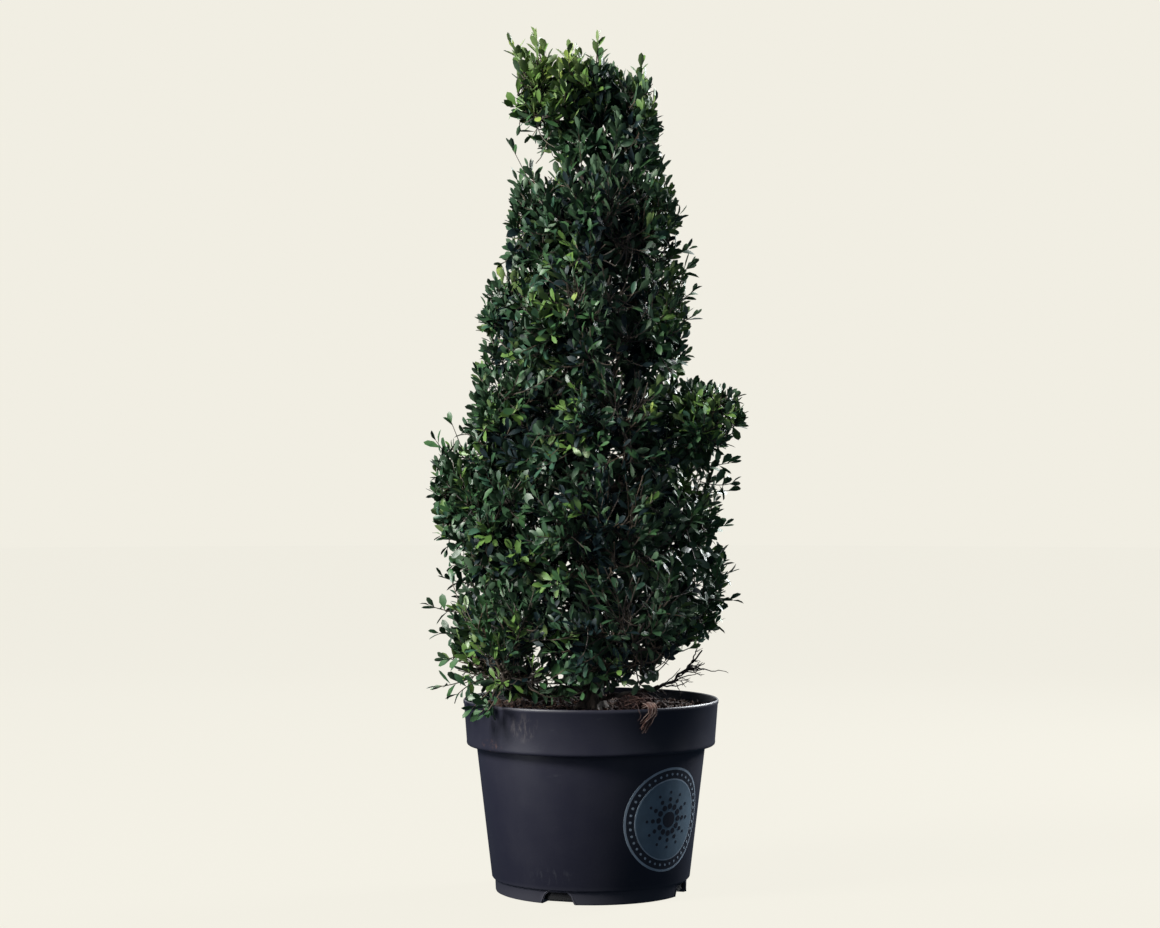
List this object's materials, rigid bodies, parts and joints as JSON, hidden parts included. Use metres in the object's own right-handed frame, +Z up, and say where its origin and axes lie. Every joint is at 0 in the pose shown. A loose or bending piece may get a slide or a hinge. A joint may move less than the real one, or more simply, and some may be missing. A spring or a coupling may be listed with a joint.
{
  "type": "potted japanese holly cone topiary",
  "caption": "Evergreen shrub grown as a loose upright cone of small glossy leaves, with tufts out of line, standing in a round plastic nursery pot filled with soil.",
  "frame": {"origin": "middle of the pot's flat underside, where it stands on the ground", "axes": "+Z up along the trunk, -Y towards the front, +X to the right seen from the front"},
  "size_m": [0.3522, 0.3213, 0.9445],
  "materials": {
    "pot_plastic": "satin charcoal",
    "soil": "moist peat soil",
    "bark": "fine grey-brown bark",
    "foliage": "glossy evergreen leaves",
    "root_fibre": "dry root fibre"
  },
  "bodies": {
    "root": {"bare_branch": "bark", "crest_bough_1": "bark", "crest_bough_2": "bark", "crest_bough_3": "bark", "crest_bough_4": "bark", "crest_foliage_1": "foliage", "crest_foliage_2": "foliage", "crest_foliage_3": "foliage", "crest_foliage_4": "foliage", "left_shoulder_bough": "bark", "left_shoulder_foliage": "foliage", "lower_bough_1": "bark", "lower_bough_2": "bark", "lower_bough_3": "bark", "lower_bough_4": "bark", "lower_bough_5": "bark", "lower_foliage_1": "foliage", "lower_foliage_2": "foliage", "lower_foliage_3": "foliage", "lower_foliage_4": "foliage", "lower_foliage_5": "foliage", "middle_bough_1": "bark", "middle_bough_2": "bark", "middle_bough_3": "bark", "middle_bough_4": "bark", "middle_foliage_1": "foliage", "middle_foliage_2": "foliage", "middle_foliage_3": "foliage", "middle_foliage_4": "foliage", "pot": "pot_plastic", "right_shoulder_bough": "bark", "right_shoulder_foliage": "foliage", "root_tuft": "root_fibre", "skirt_bough_1": "bark", "skirt_bough_2": "bark", "skirt_bough_3": "bark", "skirt_bough_4": "bark", "skirt_bough_5": "bark", "skirt_foliage_1": "foliage", "skirt_foliage_2": "foliage", "skirt_foliage_3": "foliage", "skirt_foliage_4": "foliage", "skirt_foliage_5": "foliage", "soil": "soil", "top_left_bough": "bark", "top_left_foliage": "foliage", "top_middle_foliage": "foliage", "top_right_bough": "bark", "top_right_foliage": "foliage", "trunk": "bark", "upper_bough_1": "bark", "upper_bough_2": "bark", "upper_bough_3": "bark", "upper_bough_4": "bark", "upper_foliage_1": "foliage", "upper_foliage_2": "foliage", "upper_foliage_3": "foliage", "upper_foliage_4": "foliage"}
  },
  "joints": []
}
